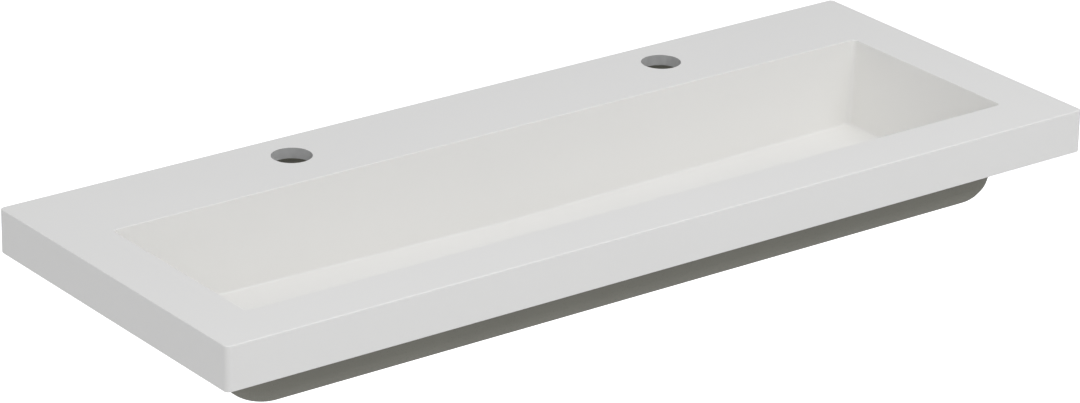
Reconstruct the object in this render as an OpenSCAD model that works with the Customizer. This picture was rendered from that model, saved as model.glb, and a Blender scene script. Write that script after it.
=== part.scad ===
/* [Basin] */
// Overall width of the basin
basin_w = 1200; // [1000:10:1400]
// Overall depth from the wall to the front edge
basin_d = 460; // [430:5:520]
// Height of the apron that hangs down all round
apron_h = 53; // [40:1:70]
// Thickness of the apron wall
apron_t = 13; // [10:0.5:16]
// Thickness of the deck
deck_t = 13.5; // [10:0.5:18]
// Radius of the upright outer corners
corner_r = 6; // [5:0.5:12]
// Radius along the upper edge of the deck
edge_r = 2.5; // [1:0.5:4]

/* [Bowl] */
// Width of the rim at each end of the bowl
end_rim = 69; // [60:1:110]
// Width of the rim in front of the bowl
front_rim = 67.5; // [55:0.5:90]
// Depth of the tap ledge behind the bowl
tap_ledge = 126.5; // [115:0.5:150]
// Depth of the bowl at its two ends
bowl_depth = 105; // [85:1:125]
// Fall of the floor from each end to the drain
floor_fall = 7.5; // [3:0.5:12]
// Draft of the front wall and the end walls in degrees
wall_draft = 7; // [5:1:15]
// Draft of the back wall in degrees
back_draft = 5; // [3:1:12]
// Radius of the corners between the walls of the bowl
bowl_corner_r = 6.5; // [5:0.5:12]
// Radius between the walls and the floor
floor_r = 3; // [2:0.5:5]
// Radius along the upper edge of the bowl
rim_r = 1.5; // [1:0.5:3]

/* [Underside] */
// Thickness of the end walls and the back wall of the bowl at the level of the deck
bowl_wall = 21; // [18:0.5:26]
// Thickness of the front wall of the bowl at the level of the deck
bowl_front_wall = 26; // [18:0.5:30]
// Thickness of the floor at the drain
floor_t = 10; // [9.5:0.5:16]
// Draft of the outside of the bowl in degrees
under_draft = 11.5; // [8:0.5:15]
// Radius of the outside corners of the bowl
under_corner_r = 40; // [35:1:55]
// Radius along the bottom edge of the bowl
under_edge_r = 32; // [15:1:34]
// Radius of the inner corners of the apron
pocket_r = 6; // [3:1:12]

/* [Tap holes] */
// Diameter of each tap hole
tap_hole_d = 48; // [35:0.5:48]
// Distance of the tap holes from the wall
tap_from_wall = 53.5; // [46:0.5:56]
// Distance of the left tap hole from the middle
tap_left = 246; // [200:1:350]
// Distance of the right tap hole from the middle
tap_right = 288; // [200:1:350]

/* [Waste] */
// Diameter of the drain hole
drain_d = 46; // [45:0.5:48]
// Diameter of the recess round the drain hole
recess_d = 67; // [66:0.5:72]
// Depth of the recess round the drain hole
recess_depth = 3; // [2:0.5:4]
// Outer diameter of the waste thread
thread_d = 41.91; // [41.5:0.01:42.5]
// Length of the waste body below its flange
waste_len = 55; // [50:1:75]
// Bore of the waste body
waste_bore_d = 35; // [33:0.5:36]
// Diameter of the flange of the waste
flange_d = 64; // [62:0.5:65]
// Travel of the plug from open to fully pressed
plug_travel = 8; // [6:0.5:8]
// Diameter of the plug cap
cap_d = 63; // [58:0.5:64]

/* [Hidden] */
$fn = 96;

// Steps in each rounded corner of a lofted shell
corner_steps = 12;
// Steps in each rounded edge of a lofted shell
rim_steps = 4;
floor_steps = 5;
under_steps = 10;
// How far a cut runs past the face that it opens
overrun = 2;
// Radial clearance where one turned piece fits in another
fit_gap = 0.05;
// Running clearance of the plunger in its guide
guide_gap = 0.08;
// Gap between pieces that move past each other
free_gap = 0.3;
// Gap round what passes through the drain hole
nose_gap = 0.4;

// Levels, from the seat plane under the apron
deck_z = apron_h;
pocket_z = deck_z - deck_t;
end_floor_z = deck_z - bowl_depth;
floor_z = end_floor_z - floor_fall;
under_z = floor_z - floor_t;
recess_z = floor_z - recess_depth;

// Plan of the bowl at the level of the deck
bowl_half_w = basin_w / 2 - end_rim;
bowl_front_y = front_rim - basin_d;
bowl_back_y = -tap_ledge;
full_depth = bowl_depth + floor_fall;
drain_y = (bowl_front_y + full_depth * tan(wall_draft)
    + bowl_back_y - full_depth * tan(back_draft)) / 2;
drain_r = drain_d / 2;
thread_r = thread_d / 2;
waste_bore_r = waste_bore_d / 2;

// Seal and flange of the waste
gasket_t = 1.5;
gasket_edge = 1;
flange_r = flange_d / 2;
flange_t = 2.5;
flange_lip = 1.2;
flange_bevel = 2.5;
dish_rim_r = 24.5;
dish_throat_r = 19;
dish_depth = 4;
flange_root_h = 3;
flange_root_r = drain_r - nose_gap;
flange_z = recess_z + gasket_t;
flange_top_z = flange_z + flange_t;
waste_end_z = flange_z - waste_len;
thread_chamfer = 1;

// Pieces that clamp the waste from below
lower_gasket_t = 5;
lower_gasket_r = 31;
nose_h = 4;
nose_taper = 1;
washer_t = 1.5;
washer_r = 30;
nut_t = 9;
nut_r = 31;
nut_chamfer = 2;
lower_gasket_z = under_z - lower_gasket_t;
washer_z = lower_gasket_z - washer_t;
nut_z = washer_z - nut_t;
relief_gap = 2.5;
relief_w = 2.5;
relief_depth = 1.2;
relief_z = nut_z - relief_gap - relief_w;

// Hub in the waste body that carries the cartridge
hub_depth = 29;
hub_top_z = flange_z - hub_depth;
hub_h = 7;
hub_r = 8.5;
hub_bore_r = 5;
spoke_w = 3.5;
spokes = 3;

// Cartridge
collar_h = 3;
cartridge_r = 7.8;
chamber_r = 6.2;
base_spigot_h = 4;
base_tail_past = 1;
spring_seat_r = 3.6;
spring_pocket = 4;
spring_seat_z = hub_top_z - spring_pocket;
end_wall = 2;
stem_r = 4.1;
stud_r = 3;
stud_chamfer = 0.6;
cams = 3;
lug_r = 4.6;
lug_h = 1.8;
lug_angle = 12;
fin_angle = 8;
fin_r = 5.9;
rotor_fin_h = 2;
plunger_fin_h = 2;
rotor_core_r = 4;
rotor_core_h = 3.8;
rotor_nose_r = 2.1;
rotor_nose_h = 3.4;
thrust_gap = 0.2;
// Height of the rotor's fins above the lower face of the lugs while the plug is open
cam_rise_share = 0.775;
collar_z = hub_top_z + collar_h;
housing_h = 20.7;
housing_z = collar_z + housing_h;
plunger_fin_z = housing_z - end_wall - free_gap - plunger_fin_h;
rotor_top_z = plunger_fin_z - thrust_gap;
lug_z = rotor_top_z - plug_travel * cam_rise_share;
spring_top_z = rotor_top_z - rotor_core_h;
wire_r = 0.45;
coil_r = 2.85;
coil_turns = 8;
coil_steps = 14;
wire_sides = 6;

// Plug
cap_r = cap_d / 2;
cap_gap = 0.5;
cap_lip = 1;
cap_edge_h = 3;
cap_edge_r = 1.2;
cap_rise = 2.5;
cap_plate_t = 2.4;
boss_r = 7;
boss_past = 8.5;
stud_engaged = 10;
skirt_r = 17.5;
skirt_t = 2;
skirt_h = 4.5;
seal_h = 4;
seal_gap = 0.35;
cap_z = flange_top_z + plug_travel + cap_gap;
cap_plate_z = cap_z + cap_lip;
boss_z = cap_plate_z - boss_past;
stud_top_z = boss_z + stud_engaged;

// Inward run of a rounded edge of radius r at height u from the face, beside a wall with draft
function round_in(u, r, draft) = 1 - u / r <= sin(draft)
    ? -u * tan(draft)
    : r * (1 - sin(draft)) / cos(draft) - sqrt(r * r - (r - u) * (r - u));

// Heights of the rings that round an edge of radius r, from its wall to its face
function round_steps(r, draft, steps) =
    [for (i = [0:steps]) r * (1 - sin(draft + (90 - draft) * i / steps))];

// Points of one corner of a ring, in turn about its centre
function corner_points(x, y, r, from) =
    [for (i = [0:corner_steps]) let (a = from + 90 * i / corner_steps) [x + r * cos(a), y + r * sin(a)]];

// Rounded oblong with a point at the middle of each long side, level or falling to the middle
function ring(half_w, front_y, back_y, r, end_z, mid_z, mid_front_y, mid_back_y) =
    let (
        plan = concat(
            corner_points(half_w - r, front_y + r, r, -90),
            corner_points(half_w - r, back_y - r, r, 0),
            [[0, mid_back_y]],
            corner_points(r - half_w, back_y - r, r, 90),
            corner_points(r - half_w, front_y + r, r, 180),
            [[0, mid_front_y]]
        )
    )
    [for (p = plan) [p[0], p[1], mid_z + (end_z - mid_z) * abs(p[0]) / half_w]];

function level_ring(half_w, front_y, back_y, r, z) = ring(half_w, front_y, back_y, r, z, z, front_y, back_y);

// Closed shell through rings of equal count, from the highest to the lowest
module loft(rings) {
    n = len(rings[0]);
    last = len(rings) - 1;
    back = n / 2 - 1;
    sides = [for (k = [0:last - 1], i = [0:n - 1])
        let (j = (i + 1) % n)
        each [[k * n + i, k * n + j, (k + 1) * n + j], [k * n + i, (k + 1) * n + j, (k + 1) * n + i]]];
    top = [[for (i = [back:-1:0]) i, n - 1], [for (i = [n - 1:-1:back]) i]];
    base = [[last * n + n - 1, for (i = [0:back]) last * n + i], [for (i = [back:n - 1]) last * n + i]];
    polyhedron([for (r = rings) each r], concat(sides, top, base), convexity = 4);
}

// Outline of an oblong with round corners
module rounded_oblong(w, d, r) {
    square([w - 2 * r, d], center = true);
    square([w, d - 2 * r], center = true);
    for (x = [-1, 1], y = [-1, 1]) translate([x * (w / 2 - r), y * (d / 2 - r)]) circle(r);
}

// Waste left outside a rounded edge, with the corner of the edge at the origin
module edge_profile() {
    difference() {
        translate([-edge_r, -edge_r]) square(edge_r + overrun);
        translate([-edge_r, -edge_r]) circle(edge_r);
    }
}

// Cuts that round the upper edge all round the deck
module deck_edge_cuts() {
    for (turn = [0, 180]) rotate(turn) translate([0, -basin_d / 2, deck_z])
        rotate([90, 0, 90]) linear_extrude(basin_w - 2 * corner_r, center = true)
            mirror([1, 0]) edge_profile();
    for (turn = [0, 180]) rotate(turn) translate([basin_w / 2, 0, deck_z])
        rotate([90, 0, 0]) linear_extrude(basin_d - 2 * corner_r, center = true) edge_profile();
    for (x = [-1, 1], y = [-1, 1])
        translate([x * (basin_w / 2 - corner_r), y * (basin_d / 2 - corner_r), deck_z])
            rotate(atan2(y, x) - 45) rotate_extrude(angle = 90) translate([corner_r, 0]) edge_profile();
}

// Deck and apron, open below
module deck_shell() {
    translate([0, -basin_d / 2, 0]) difference() {
        linear_extrude(deck_z) rounded_oblong(basin_w, basin_d, corner_r);
        translate([0, 0, -overrun]) linear_extrude(pocket_z + overrun)
            rounded_oblong(basin_w - 2 * apron_t, basin_d - 2 * apron_t, pocket_r);
        deck_edge_cuts();
    }
}

// Outside of the bowl, from inside the deck down to its flat bottom
module bowl_outside() {
    function half_w(z) = bowl_half_w + bowl_wall - (deck_z - z) * tan(under_draft);
    function front_y(z) = bowl_front_y - bowl_front_wall + (deck_z - z) * tan(under_draft);
    function back_y(z) = bowl_back_y + bowl_wall - (deck_z - z) * tan(back_draft);
    top_z = deck_z - deck_t / 2;
    lifts = round_steps(under_edge_r, under_draft, under_steps);
    loft(concat(
        [level_ring(half_w(top_z), front_y(top_z), back_y(top_z), under_corner_r, top_z)],
        [for (u = lifts)
            let (
                in = round_in(u, under_edge_r, under_draft),
                back_in = round_in(u, under_edge_r, back_draft)
            )
            level_ring(half_w(under_z) - in, front_y(under_z) + in, back_y(under_z) - back_in,
                under_corner_r - max(in, 0), under_z + u)]
    ));
}

// Hollow of the bowl, with a rounded rim, drafted walls and a floor that falls to the drain
module bowl_hollow() {
    function half_w(h) = bowl_half_w - h * tan(wall_draft);
    function front_y(h) = bowl_front_y + h * tan(wall_draft);
    function back_y(h) = bowl_back_y - h * tan(back_draft);
    rims = round_steps(rim_r, wall_draft, rim_steps);
    lifts = round_steps(floor_r, wall_draft, floor_steps);
    function rim_ring(u, z) =
        let (out = round_in(u, rim_r, wall_draft), back_out = round_in(u, rim_r, back_draft))
        level_ring(bowl_half_w + out, bowl_front_y - out, bowl_back_y + back_out, bowl_corner_r, z);
    function floor_ring(u) =
        let (in = round_in(u, floor_r, wall_draft), back_in = round_in(u, floor_r, back_draft))
        ring(half_w(bowl_depth) - in, front_y(bowl_depth) + in, back_y(bowl_depth) - back_in,
            bowl_corner_r - max(in, 0), end_floor_z + u, floor_z + u,
            front_y(full_depth) + in, back_y(full_depth) - back_in);
    loft(concat(
        [rim_ring(0, deck_z + overrun)],
        [for (i = [rim_steps:-1:0]) rim_ring(rims[i], deck_z - rims[i])],
        [for (u = lifts) floor_ring(u)]
    ));
}

// One casting: deck, apron and bowl, with its holes
module basin() {
    color([0.93, 0.93, 0.92]) difference() {
        union() {
            deck_shell();
            bowl_outside();
        }
        bowl_hollow();
        for (x = [-tap_left, tap_right]) translate([x, -tap_from_wall, pocket_z - overrun])
            cylinder(h = deck_t + 2 * overrun, d = tap_hole_d);
        translate([0, drain_y, recess_z]) cylinder(h = recess_depth + floor_fall, d = recess_d);
        translate([0, drain_y, under_z - overrun]) cylinder(h = floor_t + 2 * overrun, d = drain_d);
    }
}

// Flat ring from one height to another
module ring_piece(inner_r, outer_r, z, h) {
    translate([0, drain_y, z]) rotate_extrude() translate([inner_r, 0]) square([outer_r - inner_r, h]);
}

module flange_gasket() {
    color([0.16, 0.16, 0.17]) ring_piece(drain_r, flange_r - gasket_edge, recess_z, gasket_t);
}

// Flange, dish, threaded tube and the hub on its spokes
module waste_body() {
    color([0.78, 0.79, 0.80]) translate([0, drain_y, 0]) {
        rotate_extrude() polygon([
            [waste_bore_r, waste_end_z],
            [thread_r - thread_chamfer, waste_end_z],
            [thread_r, waste_end_z + thread_chamfer],
            [thread_r, relief_z],
            [thread_r - relief_depth, relief_z],
            [thread_r - relief_depth, relief_z + relief_w],
            [thread_r, relief_z + relief_w],
            [thread_r, flange_z - flange_root_h],
            [flange_root_r, flange_z],
            [flange_r, flange_z],
            [flange_r, flange_z + flange_lip],
            [flange_r - flange_bevel, flange_top_z],
            [dish_rim_r, flange_top_z],
            [dish_throat_r, flange_top_z - dish_depth],
            [waste_bore_r, flange_top_z - dish_depth]
        ]);
        difference() {
            union() {
                translate([0, 0, hub_top_z - hub_h]) cylinder(h = hub_h, r = hub_r);
                for (i = [0:spokes - 1]) rotate(i * 360 / spokes)
                    translate([0, -spoke_w / 2, hub_top_z - hub_h])
                        cube([(waste_bore_r + thread_r) / 2, spoke_w, hub_h]);
            }
            translate([0, 0, hub_top_z - hub_h - overrun]) cylinder(h = hub_h + 2 * overrun, r = hub_bore_r);
        }
    }
}

// Rubber ring whose tapered nose centres the waste in the drain hole
module lower_gasket() {
    color([0.13, 0.13, 0.14]) translate([0, drain_y, 0]) rotate_extrude() polygon([
        [thread_r + fit_gap, lower_gasket_z],
        [lower_gasket_r, lower_gasket_z],
        [lower_gasket_r, under_z],
        [drain_r - nose_gap, under_z],
        [drain_r - nose_gap - nose_taper, under_z + nose_h],
        [thread_r + fit_gap, under_z + nose_h]
    ]);
}

module slip_washer() {
    color([0.86, 0.86, 0.84]) ring_piece(thread_r + fit_gap, washer_r, washer_z, washer_t);
}

// Hexagon nut with both rims bevelled
module lock_nut() {
    color([0.72, 0.60, 0.32]) translate([0, drain_y, nut_z]) difference() {
        intersection() {
            cylinder(h = nut_t, r = nut_r, $fn = 6);
            rotate_extrude() polygon([
                [0, 0],
                [nut_r - nut_chamfer, 0],
                [nut_r, nut_chamfer / 2],
                [nut_r, nut_t - nut_chamfer / 2],
                [nut_r - nut_chamfer, nut_t],
                [0, nut_t]
            ]);
        }
        translate([0, 0, -overrun]) cylinder(h = nut_t + 2 * overrun, r = thread_r + fit_gap);
    }
}

// Screwed plug that seats the spring and closes the cartridge
module cartridge_base() {
    color([0.30, 0.31, 0.33]) translate([0, drain_y, 0]) rotate_extrude() polygon([
        [0, hub_top_z - hub_h - base_tail_past],
        [hub_bore_r - fit_gap, hub_top_z - hub_h - base_tail_past],
        [hub_bore_r - fit_gap, hub_top_z],
        [cartridge_r, hub_top_z],
        [cartridge_r, collar_z],
        [chamber_r - fit_gap, collar_z],
        [chamber_r - fit_gap, collar_z + base_spigot_h],
        [spring_seat_r, collar_z + base_spigot_h],
        [spring_seat_r, spring_seat_z],
        [0, spring_seat_z]
    ]);
}

// Sector of a ring, centred on a direction
module sector(inner_r, outer_r, angle, h) {
    rotate(-angle / 2) rotate_extrude(angle = angle) translate([inner_r, 0]) square([outer_r - inner_r, h]);
}

// Chamber with the lugs that the rotor's fins catch under
module cartridge_housing() {
    color([0.88, 0.88, 0.86]) translate([0, drain_y, 0]) {
        rotate_extrude() polygon([
            [chamber_r, collar_z],
            [cartridge_r, collar_z],
            [cartridge_r, housing_z],
            [stem_r + guide_gap, housing_z],
            [stem_r + guide_gap, housing_z - end_wall],
            [chamber_r, housing_z - end_wall]
        ]);
        for (i = [0:cams - 1]) rotate((i + 1 / 2) * 360 / cams) translate([0, 0, lug_z])
            sector(lug_r, (chamber_r + cartridge_r) / 2, lug_angle, lug_h);
    }
}

// Compression spring as one swept wire with its end turns laid close
module cartridge_spring() {
    wire_low_z = spring_seat_z + wire_r;
    wire_high_z = spring_top_z - wire_r;
    dead_share = 0.12;
    steps = coil_turns * coil_steps;
    function rise(t) = t < dead_share ? t / dead_share * wire_r * 2
        : t > 1 - dead_share ? wire_high_z - wire_low_z - (1 - t) / dead_share * wire_r * 2
        : wire_r * 2 + (t - dead_share) / (1 - 2 * dead_share) * (wire_high_z - wire_low_z - wire_r * 4);
    points = [for (i = [0:steps], k = [0:wire_sides - 1])
        let (turn = i * 360 / coil_steps, a = k * 360 / wire_sides)
        [(coil_r + wire_r * cos(a)) * cos(turn), (coil_r + wire_r * cos(a)) * sin(turn),
            wire_low_z + rise(i / steps) + wire_r * sin(a)]];
    sides = [for (i = [0:steps - 1], k = [0:wire_sides - 1])
        let (j = (k + 1) % wire_sides)
        each [
            [i * wire_sides + k, i * wire_sides + j, (i + 1) * wire_sides + j],
            [i * wire_sides + k, (i + 1) * wire_sides + j, (i + 1) * wire_sides + k]
        ]];
    ends = [[for (k = [wire_sides - 1:-1:0]) k], [for (k = [0:wire_sides - 1]) steps * wire_sides + k]];
    color([0.70, 0.71, 0.73]) translate([0, drain_y, 0])
        polyhedron(points, concat(sides, ends), convexity = 10);
}

// Indexing ring that turns one step at each press
module cam_rotor() {
    color([0.85, 0.35, 0.18]) translate([0, drain_y, 0]) {
        translate([0, 0, spring_top_z]) cylinder(h = rotor_core_h, r = rotor_core_r);
        translate([0, 0, spring_top_z - rotor_nose_h]) cylinder(h = rotor_nose_h + rotor_core_h / 2, r = rotor_nose_r);
        for (i = [0:cams - 1]) rotate(i * 360 / cams) translate([0, 0, rotor_top_z - rotor_fin_h])
            sector(rotor_core_r / 2, fin_r, fin_angle, rotor_fin_h);
    }
}

// Stem with three guide fins below and the stud of the plug above
module plunger() {
    color([0.92, 0.92, 0.90]) translate([0, drain_y, 0]) {
        rotate(180 / cams) rotate_extrude() polygon([
            [0, plunger_fin_z],
            [stem_r, plunger_fin_z],
            [stem_r, boss_z],
            [stud_r, boss_z],
            [stud_r, stud_top_z - stud_chamfer],
            [stud_r - stud_chamfer, stud_top_z],
            [0, stud_top_z]
        ]);
        for (i = [0:cams - 1]) rotate(i * 360 / cams) translate([0, 0, plunger_fin_z])
            sector(stem_r / 2, fin_r, fin_angle, plunger_fin_h);
    }
}

// Rubber lip that closes on the dish of the flange
module plug_seal() {
    slope = dish_depth / (dish_rim_r - dish_throat_r);
    low_z = cap_plate_z - seal_h;
    function lip_r(z) = dish_throat_r + (z - plug_travel - seal_gap - flange_top_z + dish_depth) / slope;
    color([0.12, 0.12, 0.13]) translate([0, drain_y, 0]) rotate_extrude() polygon([
        [skirt_r, low_z],
        [lip_r(low_z), low_z],
        [lip_r(low_z + seal_h / 2), low_z + seal_h / 2],
        [lip_r(low_z + seal_h / 2), cap_plate_z],
        [skirt_r, cap_plate_z]
    ]);
}

// Domed cap with its rim lip, the skirt that holds the seal and the threaded boss
module plug_cap() {
    top_z = cap_z + cap_edge_h + cap_rise;
    dome_r = (cap_r * cap_r + cap_rise * cap_rise) / (2 * cap_rise);
    // The rounded edge touches the dome here, with its centre at edge_r_x and edge_r_z
    edge_r_x = cap_r - cap_edge_r;
    edge_r_z = top_z - dome_r + sqrt(pow(dome_r - cap_edge_r, 2) - edge_r_x * edge_r_x);
    dome_end_r = dome_r * edge_r_x / (dome_r - cap_edge_r);
    color([0.80, 0.81, 0.82]) translate([0, drain_y, 0]) {
        rotate_extrude() difference() {
            union() {
                intersection() {
                    translate([0, cap_plate_z]) square([dome_end_r, top_z - cap_plate_z]);
                    translate([0, top_z - dome_r]) circle(dome_r, $fn = 360);
                }
                translate([edge_r_x, edge_r_z]) circle(cap_edge_r);
                translate([cap_r - cap_plate_t, cap_z]) square([cap_plate_t, edge_r_z - cap_z]);
            }
            translate([0, boss_z]) square([stud_r + fit_gap, stud_top_z - boss_z]);
        }
        rotate_extrude() translate([skirt_r - skirt_t, cap_plate_z - skirt_h])
            square([skirt_t, skirt_h + cap_plate_t / 2]);
        rotate_extrude() translate([stud_r + fit_gap, boss_z])
            square([boss_r - stud_r - fit_gap, cap_plate_z + cap_plate_t / 2 - boss_z]);
    }
}

basin();
flange_gasket();
waste_body();
lower_gasket();
slip_washer();
lock_nut();
cartridge_base();
cartridge_housing();
cartridge_spring();
cam_rotor();
plunger();
plug_seal();
plug_cap();
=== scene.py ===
"""Looks of a wide vanity washbasin and its push-to-open waste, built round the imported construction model.

Everything is in metres in the frame of the construction model: +X along the basin, +Y into the wall and
+Z up, with the origin on the wall plane at the level of the seat.
"""

import logging
from collections.abc import Sequence
from dataclasses import dataclass, field
from enum import Enum, IntEnum
from math import cos, pi, radians, sin, sqrt, tan

import bmesh
import bpy
from mathutils import Matrix, Vector
from mathutils.geometry import tessellate_polygon


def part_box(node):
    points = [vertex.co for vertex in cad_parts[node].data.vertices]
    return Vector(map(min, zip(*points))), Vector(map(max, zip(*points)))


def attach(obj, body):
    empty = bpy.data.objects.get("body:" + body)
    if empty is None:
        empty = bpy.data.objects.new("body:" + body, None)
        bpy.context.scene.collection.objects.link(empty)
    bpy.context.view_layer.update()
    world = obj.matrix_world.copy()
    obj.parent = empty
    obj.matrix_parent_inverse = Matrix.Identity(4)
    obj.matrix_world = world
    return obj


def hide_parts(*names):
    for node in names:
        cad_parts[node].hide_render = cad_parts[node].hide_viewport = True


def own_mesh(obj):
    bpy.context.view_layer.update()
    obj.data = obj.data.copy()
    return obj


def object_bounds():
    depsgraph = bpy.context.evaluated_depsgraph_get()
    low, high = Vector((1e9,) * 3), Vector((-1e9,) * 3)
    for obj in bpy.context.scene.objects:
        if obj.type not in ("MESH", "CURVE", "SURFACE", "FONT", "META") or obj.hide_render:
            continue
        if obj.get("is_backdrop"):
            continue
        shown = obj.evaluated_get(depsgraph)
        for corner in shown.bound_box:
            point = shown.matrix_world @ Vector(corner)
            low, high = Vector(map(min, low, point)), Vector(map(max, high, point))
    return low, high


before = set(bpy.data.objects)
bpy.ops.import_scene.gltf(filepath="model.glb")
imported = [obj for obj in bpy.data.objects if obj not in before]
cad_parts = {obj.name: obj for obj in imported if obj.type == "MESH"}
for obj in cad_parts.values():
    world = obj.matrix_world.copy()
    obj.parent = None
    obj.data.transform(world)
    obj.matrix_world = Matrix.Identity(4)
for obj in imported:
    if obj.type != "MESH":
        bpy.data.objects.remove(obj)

LOG = logging.getLogger("washbasin")
CAD_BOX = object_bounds()
FLOAT, INTEGER = "NodeSocketFloat", "NodeSocketInt"
COLOUR, VECTOR = "NodeSocketColor", "NodeSocketVector"
WELD_GAP = 1e-6
TINY = 1e-12

Colour = tuple[float, float, float]
Point = tuple[float, float, float]
Spot = tuple[float, float]
Ring = list[int]
Values = dict[str | int, object]
Socket = bpy.types.NodeSocket
Piece = bpy.types.Object


class Body(Enum):
    """The rigid bodies that new pieces ride on."""

    BASIN = "basin_unit"
    PLUG = "plug"


class Shading(Enum):
    """Angles, in degrees, above which the edge between two faces stays sharp."""

    ALL_ROUND = 180.0
    TURNED = 28.0


class Slot(IntEnum):
    """The finishes of the casting, in the order of its material slots."""

    COAT = 0
    BACKING = 1
    CORE = 2


class Wiring:
    """Adds and joins nodes in one node tree."""

    def __init__(self, tree: bpy.types.NodeTree) -> None:
        """Keeps the tree that the nodes go into."""
        self.tree = tree

    def give(self, node: bpy.types.Node, values: Values) -> None:
        """Fills a node's inputs.

        Args:
            node: The node.
            values: What goes in, by the input's name or number: a value, or another node's output.
        """
        for key, value in values.items():
            if isinstance(value, Socket):
                self.tree.links.new(value, node.inputs[key])
            else:
                node.inputs[key].default_value = value

    def add(self, kind: str, values: Values | None = None, **settings: object) -> bpy.types.Node:
        """Adds a node.

        Args:
            kind: Blender's name for the type of node.
            values: What goes into its inputs, as give takes it.
            settings: Properties of the node itself.

        Returns:
            The new node.
        """
        node = self.tree.nodes.new(kind)
        for key, value in settings.items():
            setattr(node, key, value)
        self.give(node, values or {})
        return node

    def math(self, operation: str, first: object, second: object = 0.0) -> Socket:
        """Adds one sum, such as MULTIPLY, and returns its result."""
        return self.add("ShaderNodeMath", {0: first, 1: second}, operation=operation).outputs[0]

    def vector(self, x: object = 0.0, y: object = 0.0, z: object = 0.0) -> Socket:
        """Adds a vector of three numbers or outputs and returns it."""
        return self.add("ShaderNodeCombineXYZ", {0: x, 1: y, 2: z}).outputs[0]

    def blend(self, share: Socket, first: object, second: object) -> Socket:
        """Adds a mix of two colours, which are the node's inputs 6 and 7, and returns it."""
        return self.add("ShaderNodeMix", {0: share, 6: first, 7: second}, data_type="RGBA").outputs[2]

    def noise(self, place: Socket, scale: object, detail: float) -> Socket:
        """Adds noise and returns it."""
        values = {"Vector": place, "Scale": scale, "Detail": detail}
        return self.add("ShaderNodeTexNoise", values).outputs[0]

    def sine(self, run: object, pitch: object) -> Socket:
        """Adds even waves along a run, one to each pitch, and returns their height."""
        return self.math("SINE", self.math("MULTIPLY", self.math("DIVIDE", run, pitch), 2 * pi))


class Group(Wiring):
    """A node group with named inputs and outputs, and the wiring inside it."""

    def __init__(self, name: str, kind: str, inputs: dict[str, str], outputs: dict[str, str]) -> None:
        """Makes the group.

        Args:
            name: Its name.
            kind: ShaderNodeTree or GeometryNodeTree.
            inputs: The type of each input socket, by name.
            outputs: The type of each output socket, by name.
        """
        super().__init__(bpy.data.node_groups.new(name, kind))
        for side, sockets in (("INPUT", inputs), ("OUTPUT", outputs)):
            for label, socket_type in sockets.items():
                self.tree.interface.new_socket(label, in_out=side, socket_type=socket_type)
        self.given = self.add("NodeGroupInput").outputs
        self.result = self.add("NodeGroupOutput")


class Effect:
    """A shader node group that the finishes share. It is built at its first use."""

    name: str
    inputs: dict[str, str]
    outputs: dict[str, str]
    detail = 2.0
    span = (0.2, 0.8)

    @classmethod
    def of(cls, w: Wiring, values: Values) -> Sequence[Socket]:
        """Adds the group to a material's wiring, with these values, and returns its outputs."""
        if cls.name not in bpy.data.node_groups:
            cls.fill(Group(cls.name, "ShaderNodeTree", cls.inputs, cls.outputs))
        return w.add("ShaderNodeGroup", values, node_tree=bpy.data.node_groups[cls.name]).outputs

    @classmethod
    def fill(cls, g: Group) -> None:
        """Wires the inside of the group."""
        raise NotImplementedError

    @classmethod
    def drift(cls, g: Group, low: object = 0.0, high: object = 1.0) -> Socket:
        """Adds noise that swings smoothly between two values and returns it."""
        noise = g.noise(g.given["Vector"], g.given["Scale"], cls.detail)
        first, last = cls.span
        values = {"Value": noise, "From Min": first, "From Max": last, "To Min": low, "To Max": high}
        return g.add("ShaderNodeMapRange", values, interpolation_type="SMOOTHSTEP").outputs[0]


class Cloud(Effect):
    """A soft drift between two colours."""

    name = "soft_cloud"
    inputs = {"Vector": VECTOR, "Scale": FLOAT, "Light": COLOUR, "Dark": COLOUR}
    outputs = {"Color": COLOUR}

    @classmethod
    def fill(cls, g: Group) -> None:
        """Blends the two colours by the drift."""
        g.give(g.result, {"Color": g.blend(cls.drift(g), g.given["Dark"], g.given["Light"])})


class Handling(Effect):
    """Roughness that drifts between a low and a high value, as wiping and handling leave it."""

    name = "handling_marks"
    inputs = {"Vector": VECTOR, "Scale": FLOAT, "Low": FLOAT, "High": FLOAT}
    outputs = {"Roughness": FLOAT}

    @classmethod
    def fill(cls, g: Group) -> None:
        """Drifts between the two values."""
        g.give(g.result, {"Roughness": cls.drift(g, g.given["Low"], g.given["High"])})


class Relief(Effect):
    """Fine grain with scattered pits, as a height, and the pits alone as a mask."""

    name = "fine_relief"
    inputs = {"Vector": VECTOR, "Scale": FLOAT, "Pits": FLOAT}
    outputs = {"Height": FLOAT, "Pit": FLOAT}
    detail = 6.0
    pit_scale = 0.4
    pit_size = 0.22

    @classmethod
    def fill(cls, g: Group) -> None:
        """Takes the pits away from the grain."""
        place, scale = g.given["Vector"], g.given["Scale"]
        grain = g.noise(place, scale, cls.detail)
        sparse = g.math("MULTIPLY", scale, cls.pit_scale)
        cells = g.add("ShaderNodeTexVoronoi", {"Vector": place, "Scale": sparse})
        pit = g.add("ShaderNodeMapRange", {
            "Value": cells.outputs["Distance"], "From Max": cls.pit_size, "To Min": 1.0, "To Max": 0.0,
        }).outputs[0]
        depth = g.math("MULTIPLY", pit, g.given["Pits"])
        g.give(g.result, {"Height": g.math("SUBTRACT", grain, depth), "Pit": pit})


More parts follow.
